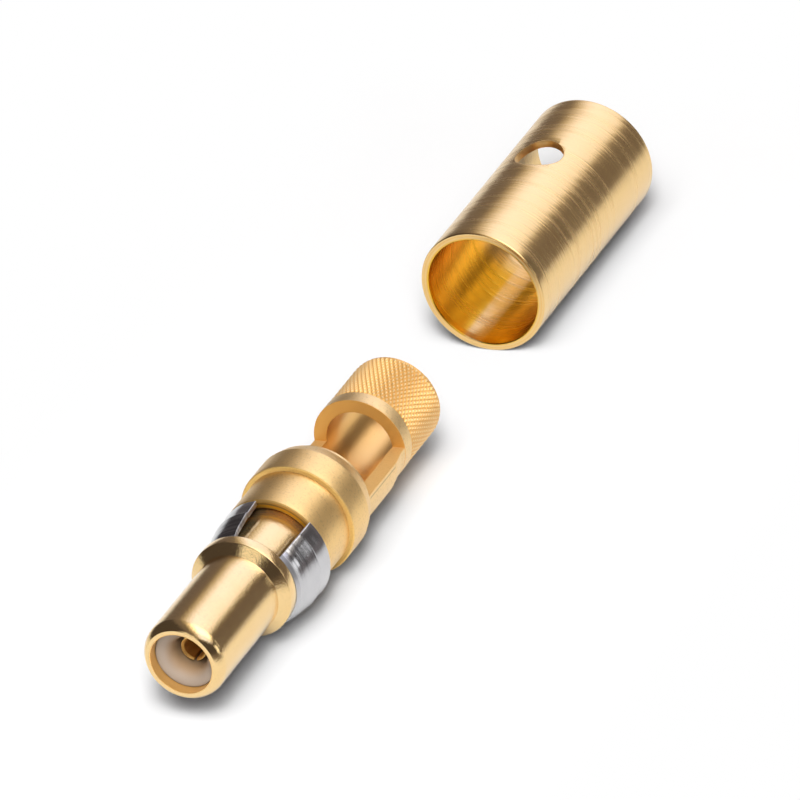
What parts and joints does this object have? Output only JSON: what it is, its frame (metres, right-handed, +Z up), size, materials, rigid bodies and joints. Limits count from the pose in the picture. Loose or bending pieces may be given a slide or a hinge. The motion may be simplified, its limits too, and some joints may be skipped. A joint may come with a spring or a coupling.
{
  "type": "coaxial contact",
  "caption": "Gold-plated coaxial socket contact with spring retention clip, milled window and knurled crimp barrel, its crimp ferrule pulled off along the axis.",
  "frame": {"origin": "on the axis of the contact, in the front face of the flange, where the contact stops in the connector", "axes": "+Y along the axis from the mating nose to the cable end, +Z up through the middle of the milled window, +X to the right seen from the mating end"},
  "size_m": [0.0064, 0.0472, 0.0064],
  "materials": {
    "polished_gold": "gold plate over brass, polished by turning",
    "satin_gold": "gold plate over brass, satin",
    "spring_steel": "tinned spring sheet, finely brushed",
    "milky_fluoropolymer": "milky, slightly translucent",
    "contact_gold": "gold plate, satin",
    "brushed_gold": "gold plate over brass, brushed round the tube"
  },
  "bodies": {
    "contact": {"front_shell": "polished_gold", "rear_body": "satin_gold", "retention_clip": "spring_steel", "insulator": "milky_fluoropolymer", "centre_contact": "contact_gold"},
    "ferrule": {"crimp_ferrule": "brushed_gold"}
  },
  "joints": [
    {"name": "ferrule_slide", "type": "slide", "parent": "contact", "child": "ferrule", "axis": [0, 1, 0], "range_m": [-0.01885, 0]}
  ]
}
